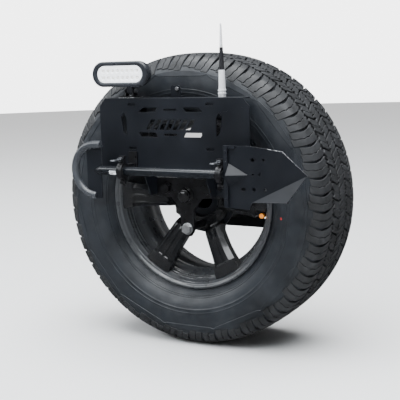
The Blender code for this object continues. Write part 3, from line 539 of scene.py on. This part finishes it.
def tread_blocks():
    """Every pitch's blocks; the inner half is the outer one end for end, half a pitch on."""
    outer = [tread_pattern(False), tread_pattern(True)]
    centre = centre_pattern()
    points, faces, count = [], [], 0
    for number in range(PITCHES):
        shapes = [(b, 1, 0.0) for b in outer[number % 2]] + [(b, 1, 0.0) for b in centre]
        shapes += [(b, -1, 0.5) for b in outer[number % 2]]
        for (spots, quads), side, shift in shapes:
            pitch = side * spots[:, 0] + number + shift
            radius, out = contour.at(side * spots[:, 1], spots[:, 2])
            points.append(round_wheel(radius, pitch * PITCH, out))
            faces += [tuple(count + k for k in quad) for quad in quads]
            count += len(spots)
    from_arrays("tyre_tread_blocks", np.concatenate(points), faces, "carrier", TREAD,
                math.radians(25))


def shoulder_guard():
    """A thin raised band under the lugs on each sidewall, with a many-sided inner edge."""
    sides, steps = 14, 14 * 16
    angles = np.linspace(0, 2 * math.pi, steps, endpoint=False)
    sector = 2 * math.pi / sides
    offset = (angles % sector) - sector / 2
    dip = (1 / np.cos(offset) - 1) / (1 / math.cos(sector / 2) - 1)
    inner = 0.1665 - 0.0085 * dip
    notch = np.clip(np.abs(np.abs(offset) - sector / 2) / 0.012, 0, 1)
    outer = np.full_like(inner, LUG_END + 0.0005)
    height, chamfer = 0.0011, 0.0007
    for side, name in ((1, "outer"), (-1, "inner")):
        rails = [(outer, -0.0010), (outer, height), (inner - chamfer - 0.003 * (1 - notch), height),
                 (inner - 0.003 * (1 - notch), 0.0003), (inner, -0.0010)]
        layers = []
        for run, rise in rails:
            radius, out = contour.at(side * run, np.full_like(run, rise))
            layers.append(round_wheel(radius, angles, out))
        points = np.stack(layers, axis=1).reshape(-1, 3)
        from_arrays(f"tyre_guard_{name}", points, grid_faces(steps, len(rails), True, True), "carrier",
                    SIDEWALL, math.radians(20))


# ---------------------------------------------------------------- wheel

HUB_FRONT, HUB_BACK = 0.040, 0.025
SPOKE_ROOT, SPOKE_TIP = 0.060, 0.2150
SPOKES = 6
SPOKE_TURN = math.radians(-2)
# a spoke's front and back, as (radius, out)
SPOKE_FRONT = [(0.060, 0.0400), (0.077, 0.0405), (0.083, 0.0560), (0.089, 0.0680), (0.096, 0.0720),
               (0.120, 0.0790), (0.145, 0.0845), (0.170, 0.0893), (0.192, 0.0925), (0.215, 0.0948)]
SPOKE_BACK = [(0.060, 0.026), (0.096, 0.027), (0.105, 0.040), (0.150, 0.052), (0.215, 0.062)]
PAD_START = 0.186           # where the plain pad at a spoke's outer end starts


def wheel_barrel():
    """The rim's lip, inner steps and well, with rounded edges."""
    lip = smooth_curve([(0.2225, 0.0945), (0.2300, 0.0972), (0.2350, 0.1000), (0.2355, 0.1024),
                        (0.2330, 0.1034), (0.2290, 0.1020), (0.2255, 0.0985), (0.2225, 0.0975),
                        (0.2198, 0.0965), (0.2160, 0.0900)], 26)
    inside = [(0.2140, 0.0860), (0.2128, 0.0850), (0.2124, 0.0760), (0.2110, 0.0750),
              (0.2104, 0.0650), (0.2090, 0.0640), (0.2075, 0.0550), (0.2010, 0.0465),
              (0.1950, 0.0400), (0.1925, 0.0330), (0.1915, 0.0100), (0.1925, -0.0120),
              (0.2000, -0.0300), (0.2070, -0.0460), (0.2080, -0.0560), (0.2095, -0.0570),
              (0.2105, -0.0700), (0.2120, -0.0710), (0.2140, -0.0880), (0.2200, -0.0960)]
    rear_lip = [(0.2290, -0.1015), (0.2330, -0.1030), (0.2355, -0.1015), (0.2350, -0.0990),
                (0.2225, -0.0940), (0.2190, -0.0910)]
    outside = [(0.2165, -0.066), (0.2130, -0.046), (0.1980, -0.010), (0.1980, 0.040), (0.2140, 0.055),
               (0.2165, 0.066), (0.2190, 0.0910)]
    points, faces = lathe_wheel([tuple(p) for p in lip] + inside + rear_lip + outside, 180)
    # the barrel takes the lighter copy of the rim paint, painted light on its inside
    barrel = from_arrays("wheel_barrel", points, faces, "carrier", BARREL_PAINT_PAINTED_LIGHT)
    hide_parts("rim_barrel")


def spoke_section(radius, notched):
    """One spoke's cross-section at a radius: (across, out) points, the front from left to right.

    A notched spoke is narrower on one side of its outer end, beside the valve."""
    front, back = (np.interp(radius, *zip(*line)) for line in (SPOKE_FRONT, SPOKE_BACK))
    root_half, flare, flare_start, flare_length = 0.026, 0.018, 0.066, 0.164
    half = root_half + flare * max((radius - flare_start) / flare_length, 0) ** 3
    low = half
    if notched:
        low = float(np.interp(radius, (0.180, 0.186, 0.220), (half, 0.0110, 0.0110)))
    grown = float(np.interp(radius, (0.080, 0.094, PAD_START - 0.003, PAD_START), (0, 1, 1, 0.10)))
    chamfer = 0.0125 * float(np.interp(radius, (0.075, 0.090, PAD_START - 0.002, PAD_START + 0.002),
                                       (0.2, 1, 1, 0.28)))
    groove = 0.0046 * grown
    rows = [(-1.00, chamfer), (-0.64, 0.0), (-0.56, 0.0), (-0.48, groove), (-0.14, groove),
            (-0.07, 0.0006 * grown), (0.07, 0.0006 * grown), (0.14, groove), (0.48, groove), (0.56, 0.0),
            (0.64, 0.0), (1.00, chamfer)]
    section = [((half if t > 0 else low) * t, front - drop) for t, drop in rows]
    return section + [(half * 0.98, back), (-low * 0.98, back)]


def wheel_spider():
    """Six ridged spokes on a plain hub ring."""
    radii = np.concatenate([np.linspace(SPOKE_ROOT, PAD_START - 0.004, 22),
                            [PAD_START - 0.002, PAD_START, PAD_START + 0.002],
                            np.linspace(PAD_START + 0.004, SPOKE_TIP, 6)])
    points, faces = [], []
    for number in range(SPOKES):
        turn = number * 2 * math.pi / SPOKES + SPOKE_TURN
        sections = np.array([spoke_section(radius, number == 0) for radius in radii])
        start = sum(len(p) for p in points)
        across, out = sections[..., 0], sections[..., 1]
        x = radii[:, None] * math.cos(turn) - across * math.sin(turn)
        z = radii[:, None] * math.sin(turn) + across * math.cos(turn)
        points.append(np.stack([WHEEL.x + x, WHEEL.y - out, WHEEL.z + z], axis=-1).reshape(-1, 3))
        size = sections.shape[1]
        faces += grid_faces(len(radii), size, False, True, start)
        faces.append(tuple(start + k for k in range(size)))
        faces.append(tuple(start + (len(radii) - 1) * size + k for k in reversed(range(size))))
    spokes = from_arrays("wheel_spokes", np.concatenate(points), faces, "carrier", RIM_PAINT,
                         math.radians(18))
    soften(spokes, 0.0011, 3)
    ring = [(0.0500, HUB_FRONT - 0.0020), (0.0512, HUB_FRONT), (0.0790, HUB_FRONT),
            (0.0815, HUB_FRONT - 0.0010), (0.0830, HUB_FRONT - 0.0040), (0.0830, HUB_BACK),
            (0.0500, HUB_BACK)]
    points, faces = lathe_wheel(ring, 120)
    from_arrays("wheel_hub", points, faces, "carrier", RIM_PAINT)
    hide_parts("rim_spider")


# ---------------------------------------------------------------- work light

lens_low, lens_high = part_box("light_bezel")
LAMP = (lens_low + lens_high) / 2
LAMP_LENGTH, LAMP_HEIGHT = lens_high.x - lens_low.x, lens_high.z - lens_low.z
LAMP_FRONT = lens_low.y
LENS_INSET, LENS_END_INSET = 0.0112, 0.0052
LAMP_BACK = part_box("light_housing")[1].y


def lamp_loop(inset, ends=0.0, steps=24):
    """The lamp's outline moved in by inset, and by ends more at its ends, as (x, z) points."""
    radius = LAMP_HEIGHT / 2 - inset
    reach = (LAMP_LENGTH - LAMP_HEIGHT) / 2 - ends
    angles = np.linspace(-math.pi / 2, math.pi / 2, steps)
    right = np.stack([LAMP.x + reach + radius * np.cos(angles), LAMP.z + radius * np.sin(angles)], axis=1)
    left = np.stack([LAMP.x - reach - radius * np.cos(angles), LAMP.z - radius * np.sin(angles)], axis=1)
    return np.concatenate([right, left])


def lamp_skin(name, levels, finish, closed):
    """A skin over levels of (inset, y, extra inset at the ends); a closed one is a ring."""
    points = np.stack([np.stack([loop[:, 0], np.full(len(loop), y), loop[:, 1]], axis=1)
                       for loop, y in ((lamp_loop(inset, ends), y) for inset, y, ends in levels)])
    rows, columns = points.shape[:2]
    faces = grid_faces(rows, columns, closed, True)
    if not closed:
        faces += [tuple(range(columns)), tuple((rows - 1) * columns + k for k in range(columns))]
    return from_arrays(name, points.reshape(-1, 3), faces, "work_light", finish)


def rounded_bar(name, low, high, body, finish, radius):
    """A bar between two corners with all its edges rounded."""
    low, high = Vector(low), Vector(high)
    bm = bmesh.new()
    bmesh.ops.create_cube(bm, size=1.0)
    bmesh.ops.scale(bm, vec=high - low, verts=bm.verts)
    bmesh.ops.translate(bm, vec=(low + high) / 2, verts=bm.verts)
    bmesh.ops.bevel(bm, geom=bm.edges[:], offset=radius, segments=2, affect="EDGES", profile=0.5)
    mesh = bpy.data.meshes.new(name)
    bm.to_mesh(mesh)
    bm.free()
    mesh.shade_smooth()
    made = bpy.data.objects.new(name, mesh)
    bpy.context.scene.collection.objects.link(made)
    return place(made, body, finish)


def lamp_shell():
    """The rounded casting behind the bezel, its cooling fins and the lug round the tilt bolt."""
    bezel_depth = 0.0055
    depth = LAMP_BACK - LAMP_FRONT - bezel_depth
    start = LAMP_FRONT + bezel_depth
    levels = [(0.0016, start, 0.0), (0.0002, start + 0.0012, 0.0), (0.0, start + 0.004, 0.0)]
    curve, straight, fins = 7, 0.006, 0.006
    for share in np.linspace(0, 1, curve)[1:]:
        y = start + straight + share * (depth - straight - fins)
        levels.append((0.0155 * (1 - math.sqrt(1 - (0.96 * share) ** 2)), y, 0.0))
    shell = lamp_skin("lamp_shell", levels, CASTING, False)
    count, span = 11, LAMP_LENGTH * 0.62
    fin_half, fin_reach = 0.0011, 0.017
    for number in range(count):
        x = LAMP.x + (number / (count - 1) - 0.5) * span
        rounded_bar(f"lamp_fin_{number + 1}", (x - fin_half, LAMP_BACK - fins - 0.003, LAMP.z - fin_reach),
                    (x + fin_half, LAMP_BACK - 0.0004, LAMP.z + fin_reach), "work_light", CASTING,
                    0.0009)
    pivot_x, pivot_y, pivot_z = next(j["pos_m"] for j in frame["joints"] if j["name"] == "light_tilt")
    radius, top, half, rounding, taper = 0.0078, 0.0190, 0.0088, 0.0010, 0.02
    outline = [(radius * math.cos(a), radius * math.sin(a)) for a in np.linspace(math.pi, 2 * math.pi, 15)]
    outline = [(-radius, top)] + outline + [(radius, top)]
    profile = [(rounding, -half), (0.0, rounding - half), (0.0, half - rounding), (rounding, half)]
    points = [(pivot_x + x, pivot_y + y * (1 - inset / radius), pivot_z + z * (1 - inset / taper))
              for inset, x in profile for y, z in outline]
    size = len(outline)
    faces = grid_faces(len(profile), size, False, True)
    faces += [tuple(range(size)), tuple((len(profile) - 1) * size + k for k in range(size))]
    from_arrays("lamp_lug", points, faces, "work_light", CASTING)
    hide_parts("light_housing")


def lamp_bezel():
    """A rounded ring with a step down to the reflector."""
    front, back = LAMP_FRONT, LAMP_FRONT + 0.0052
    levels = [(0.0006, back, 0.0), (0.0, back - 0.0012, 0.0), (0.0004, front + 0.0022, 0.0),
              (0.0018, front + 0.0007, 0.0), (0.0042, front, 0.0), (0.0078, front + 0.0003, 0.002),
              (0.0096, front + 0.0014, 0.004), (0.0112, front + 0.0030, LENS_END_INSET - 0.0004),
              (LENS_INSET + 0.0008, back, LENS_END_INSET)]
    bezel = lamp_skin("lamp_bezel", levels, CASTING, True)
    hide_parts("light_bezel")


def lamp_reflector():
    """The bright insert with two rows of dished cups, each with its diode."""
    columns, rows = 160, 44
    radius = LAMP_HEIGHT / 2 - LENS_INSET
    reach = (LAMP_LENGTH - LAMP_HEIGHT) / 2 - LENS_END_INSET
    face = LAMP_FRONT + 0.0024
    cups_across, cup_pitch, row_rise = 8, 0.0146, 0.0090
    cups = [(LAMP.x + (i - (cups_across - 1) / 2) * cup_pitch, LAMP.z + side * row_rise)
            for i in range(cups_across) for side in (-1, 1)]
    cup_radius, cup_depth = 0.0066, 0.0040
    diode_half, diode_rise = 0.0014, 0.0016
    xs = LAMP.x + (reach + radius) * np.sin(np.linspace(-0.5, 0.5, columns) * math.pi * 0.999)
    beyond = np.maximum(np.abs(xs - LAMP.x) - reach, 0)
    heights = np.sqrt(np.maximum(radius ** 2 - beyond ** 2, 1e-8))
    across = np.linspace(-1, 1, rows)
    x = np.repeat(xs[:, None], rows, axis=1)
    z = LAMP.z + heights[:, None] * across[None, :]
    nearest = np.min([np.hypot(x - cx, z - cz) for cx, cz in cups], axis=0)
    y = face + cup_depth * np.clip(1 - (nearest / cup_radius) ** 2, 0, 1)
    points = np.stack([x, y, z], axis=-1).reshape(-1, 3)
    reflector = from_arrays("lamp_reflector", points, grid_faces(columns, rows), "work_light", LENS)
    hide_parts("light_lens", "light_led_board")
    for number, (cx, cz) in enumerate(cups, 1):
        rounded_bar(f"lamp_diode_{number}",
                    (cx - diode_half, face + cup_depth - diode_rise, cz - diode_half),
                    (cx + diode_half, face + cup_depth, cz + diode_half), "work_light", DIODE,
                    0.0004)


# ---------------------------------------------------------------- shovel

shaft_low, shaft_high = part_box("shovel_shaft")
SHAFT = (shaft_low + shaft_high) / 2
SHAFT_RADIUS = (shaft_high.z - shaft_low.z) / 2


def swept_tube(name, line, radius, body, finish, sides=20):
    """A round tube with rounded ends along a smooth line."""
    line = np.array(line, float)
    ahead = np.gradient(line, axis=0)
    ahead /= np.linalg.norm(ahead, axis=1)[:, None]
    side = np.array((0.0, 1.0, 0.0))
    up = np.cross(ahead, side)
    up /= np.linalg.norm(up, axis=1)[:, None]
    turn = np.linspace(0, 2 * math.pi, sides, endpoint=False)
    radii = np.full(len(line), radius)
    radii[[0, -1]] *= 0.86
    ring = np.cos(turn)[None, :, None] * side + np.sin(turn)[None, :, None] * up[:, None, :]
    points = (line[:, None, :] + radii[:, None, None] * ring).reshape(-1, 3)
    faces = grid_faces(len(line), sides, False, True)
    faces += [tuple(range(sides)), tuple((len(line) - 1) * sides + k for k in range(sides))]
    return from_arrays(name, points, faces, body, finish)


def handle_loop():
    """The D-shaped grip as a smooth bent tube."""
    low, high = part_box("shovel_handle_loop")
    radius = (high.y - low.y) / 2
    centre = Vector((low.x + (high.z - low.z) / 2, (low.y + high.y) / 2, (low.z + high.z) / 2))
    bend = (high.z - low.z) / 2 - radius
    turns = np.linspace(math.radians(90), math.radians(268), 72)
    line = [(high.x, centre.y, centre.z + bend), (high.x - 0.0010, centre.y, centre.z + bend)]
    line += [(centre.x + bend * math.cos(a), centre.y, centre.z + bend * math.sin(a)) for a in turns]
    # the loop wears the lighter coat, a painted highlight over the black powder coat
    loop = swept_tube("handle_loop_tube", line, radius, "shovel", HANDLE_COAT_PAINTED_LIGHT, 28)
    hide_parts("shovel_handle_loop")


def shaft_tube():
    """The shaft, round and smooth, with its drawn-down left end."""
    length = shaft_high.x - shaft_low.x
    stations = [(0.0, 0.0), (0.0, 0.0022), (0.0010, 0.0034), (0.0040, 0.0056), (0.0130, 0.0092),
                (0.0190, 0.0109), (0.0215, SHAFT_RADIUS), (length - 0.0008, SHAFT_RADIUS),
                (length, SHAFT_RADIUS - 0.0008), (length, 0.0)]
    sides = 48
    turns = np.linspace(0, 2 * math.pi, sides, endpoint=False)
    points = [(shaft_low.x + x, SHAFT.y + r * math.cos(a), SHAFT.z + r * math.sin(a))
              for x, r in stations for a in turns]
    shaft = from_arrays("shaft_tube", points, grid_faces(len(stations), sides, False, True), "shovel",
                        SHAFT_COAT)
    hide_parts("shovel_shaft")


def shaft_patch(name, start, stop, low_turn, high_turn, rise, finish):
    """A thin curved patch on the shaft between two turns about it, in degrees from straight out."""
    turns = np.radians(np.linspace(low_turn, high_turn, 16))
    xs = np.linspace(start, stop, 5)
    radius = SHAFT_RADIUS + rise
    points = [(x, SHAFT.y - radius * math.cos(a), SHAFT.z + radius * math.sin(a))
              for x in xs for a in turns]
    from_arrays(name, points, grid_faces(len(xs), len(turns)), "shovel", finish)


def shaft_label():
    """A pale plain label left of the clamp, with two plain dark bars."""
    shaft_patch("shaft_label", -0.1475, -0.1275, -52, 4, 0.00015, LABEL)
    shaft_patch("shaft_label_bar_upper", -0.1450, -0.1300, -16, -8, 0.00025, BLACK_PLASTIC)
    shaft_patch("shaft_label_bar_lower", -0.1450, -0.1365, -38, -30, 0.00025, BLACK_PLASTIC)


def worn_and_lit_blade():
    """The blade's own coat, worn through to steel along its cutting edges; the bright steel is partly a painted
    highlight on those edges.
    """
    spots = [v.co.copy() for v in nodes["shovel_blade"].data.vertices]
    tip = max(spots, key=lambda p: p.x)
    upper = max((p for p in spots if tip.x - 0.075 < p.x < tip.x - 0.045), key=lambda p: p.z)
    lower = min((p for p in spots if p.x > tip.x - 0.060), key=lambda p: p.z)
    root = max((p for p in spots if tip.x - 0.160 < p.x < tip.x - 0.140), key=lambda p: p.z)
    return blade_coat_worn_and_lit([(upper, tip, 0.0016), (lower, tip, 0.0008), (root, upper, 0.0010)])


def balance_dot():
    """A small paint dot on the sidewall, as tyres leave the factory with."""
    wheel_radius = 0.2722
    run = np.interp(wheel_radius, contour.line[::-1, 0], contour.run[::-1])
    angle, radius, steps = math.radians(-5.66), 0.0036, 20
    turns = np.linspace(0, 2 * math.pi, steps, endpoint=False)
    points = []
    for share in (1.0, 0.5):
        r, out = contour.at(run + share * radius * np.sin(turns), np.full(steps, 0.0004))
        points.append(round_wheel(r, angle + share * radius * np.cos(turns) / wheel_radius, out))
    faces = grid_faces(2, steps, False, True) + [tuple(range(steps, 2 * steps))]
    from_arrays("sidewall_dot", np.concatenate(points), faces, "carrier", DOT)


# ---------------------------------------------------------------- carried-over CAD parts

def soften(piece, width, segments=2):
    """Round a piece's sharp edges without moving the mesh itself."""
    piece.data.shade_smooth()
    weld = piece.modifiers.new("weld", "WELD")
    weld.merge_threshold = 0.00001
    bevel = piece.modifiers.new("edges", "BEVEL")
    bevel.limit_method = "ANGLE"
    bevel.angle_limit = math.radians(28)
    bevel.width = width
    bevel.segments = segments
    bevel.harden_normals = False
    normals = piece.modifiers.new("normals", "WEIGHTED_NORMAL")
    normals.keep_sharp = True


FINISHES = {
    "powder_black": (POWDER, 0.0006), "nut_black": (NUT_PAINT, 0.0007), "zinc_steel": (ZINC, 0.0004),
    "black_steel": (OXIDE, 0.0005), "lamp_casting": (CASTING, 0.0012), "liner_rubber": (LINER, 0.0003),
    "lens_white": (LENS, 0.0005), "led_board": (BOARD, 0.0002), "antenna_white": (WHITE, 0.0006),
    "antenna_black": (BLACK_PLASTIC, 0.0004), "amber_plastic": (AMBER, 0.0010),
    "rim_black": (RIM_PAINT, 0.0008), "tyre_rubber": (SIDEWALL, 0.0010),
}

# pieces given a lit copy and a shaded copy of the zinc plating, by how their names start: a painted highlight on
# the lowest standoff bolt and painted shade on the clamp knobs
PAINTED_LIGHT_FINISHES = {"standoff_bolt_3": ZINC_PAINTED_HIGHLIGHT, "clamp_knob": ZINC_PAINTED_SHADE}


def dress_cad_nodes():
    for part in frame["record"]["subparts"]:
        node, slot = nodes[part["node"]], part["material_slot"]
        finish, width = FINISHES[slot]
        if part["node"] == "shovel_blade":
            finish = worn_and_lit_blade()
        # the pieces named here get the lit copy or the shaded copy of the zinc, as painted light
        for start, painted_light_finish in PAINTED_LIGHT_FINISHES.items():
            if part["node"].startswith(start):
                finish = painted_light_finish
        node.data.materials.clear()
        node.data.materials.append(finish)
        soften(node, width)


# ---------------------------------------------------------------- scene

def camera():
    """A long lens a little above the wheel's axis, to its right."""
    data = bpy.data.cameras.new("camera")
    data.lens, data.sensor_width = 80.2, 36
    data.clip_start, data.clip_end = 0.05, 60
    made = bpy.data.objects.new("camera", data)
    bpy.context.scene.collection.objects.link(made)
    location = (1.1318, -2.2971, 0.3609)
    yaw, pitch, roll = math.radians(28.48), math.radians(8.75), math.radians(-1.676)
    ahead = Vector((-math.sin(yaw) * math.cos(pitch), math.cos(yaw) * math.cos(pitch), -math.sin(pitch)))
    right = Vector((math.cos(yaw), math.sin(yaw), 0))
    top = right.cross(ahead)
    right, top = (math.cos(roll) * right + math.sin(roll) * top,
                  -math.sin(roll) * right + math.cos(roll) * top)
    turn = Matrix((right, top, -ahead)).transposed()
    made.matrix_world = Matrix.Translation(location) @ turn.to_4x4()
    bpy.context.scene.camera = made


def floor():
    """A pale floor that the gloss parts don't mirror."""
    size = 30.0
    mesh = bpy.data.meshes.new("floor")
    mesh.from_pydata([(-size, -size, 0), (size, -size, 0), (size, size, 0), (-size, size, 0)], [],
                     [(0, 1, 2, 3)])
    made = bpy.data.objects.new("floor", mesh)
    made.location = (0, 0, WHEEL.z - TYRE_RADIUS - 0.0005)
    bpy.context.scene.collection.objects.link(made)
    look = Look("pale_floor", (0.90, 0.90, 0.90), 0.9)
    mesh.materials.append(look.material)
    made.visible_glossy = False


def backdrop():
    """A round white wall far from the object on every side."""
    mesh = bpy.data.meshes.new("backdrop")
    radius, height, steps = 13.0, 16.0, 96
    base = WHEEL.z - TYRE_RADIUS - 0.01
    turns = np.linspace(0, 2 * math.pi, steps, endpoint=False)
    points = [(radius * math.cos(a), radius * math.sin(a), z) for z in (base, base + height) for a in turns]
    mesh.from_pydata(points, [], grid_faces(2, steps, False, True))
    made = bpy.data.objects.new("backdrop", mesh)
    bpy.context.scene.collection.objects.link(made)
    look = Look("white_wall", (0.9, 0.9, 0.9), 0.8, Emission_Color=(1, 1, 1, 1), Emission_Strength=4.0)
    mesh.materials.append(look.material)
    made.visible_glossy = made.visible_diffuse = made.visible_shadow = False


def area_light(name, place_at, target, size, power, tint=(1, 1, 1)):
    data = bpy.data.lights.new(name, "AREA")
    data.shape = "RECTANGLE"
    data.size, data.size_y = size
    data.energy = power
    data.color = tint
    made = bpy.data.objects.new(name, data)
    made.location = place_at
    made.rotation_mode = "QUATERNION"
    made.rotation_quaternion = (Vector(target) - Vector(place_at)).to_track_quat("-Z", "Y")
    made.visible_camera = False
    bpy.context.scene.collection.objects.link(made)


def soft_sun(strength, spread):
    """Even light from straight above, over the whole floor."""
    data = bpy.data.lights.new("overhead", "SUN")
    data.energy = strength
    data.angle = spread
    made = bpy.data.objects.new("overhead", data)
    bpy.context.scene.collection.objects.link(made)


def lights():
    soft_sun(2.6, math.radians(60))
    area_light("sky", (0.3, -1.1, 3.6), (0, -0.6, 0), (4.4, 4.4), 430, (0.93, 0.97, 1.0))
    area_light("front_sky", (-3.4, -4.9, 4.3), (0, -0.2, 0.0), (9.0, 2.2), 330, (0.93, 0.97, 1.0))
    area_light("left", (-5.5, -0.8, 2.6), (0, -0.2, 0.1), (3.0, 2.4), 70, (0.95, 0.98, 1.0))
    world = bpy.data.worlds.new("studio")
    world.use_nodes = True
    background = world.node_tree.nodes["Background"]
    background.inputs["Color"].default_value = (0.95, 0.97, 1.0, 1.0)
    background.inputs["Strength"].default_value = 0.13
    bpy.context.scene.world = world


dress_cad_nodes()
tyre_carcass()
tread_blocks()
shoulder_guard()
wheel_barrel()
wheel_spider()
lamp_shell()
lamp_bezel()
lamp_reflector()
shaft_tube()
handle_loop()
shaft_label()
balance_dot()
camera()
floor()
backdrop()
lights()
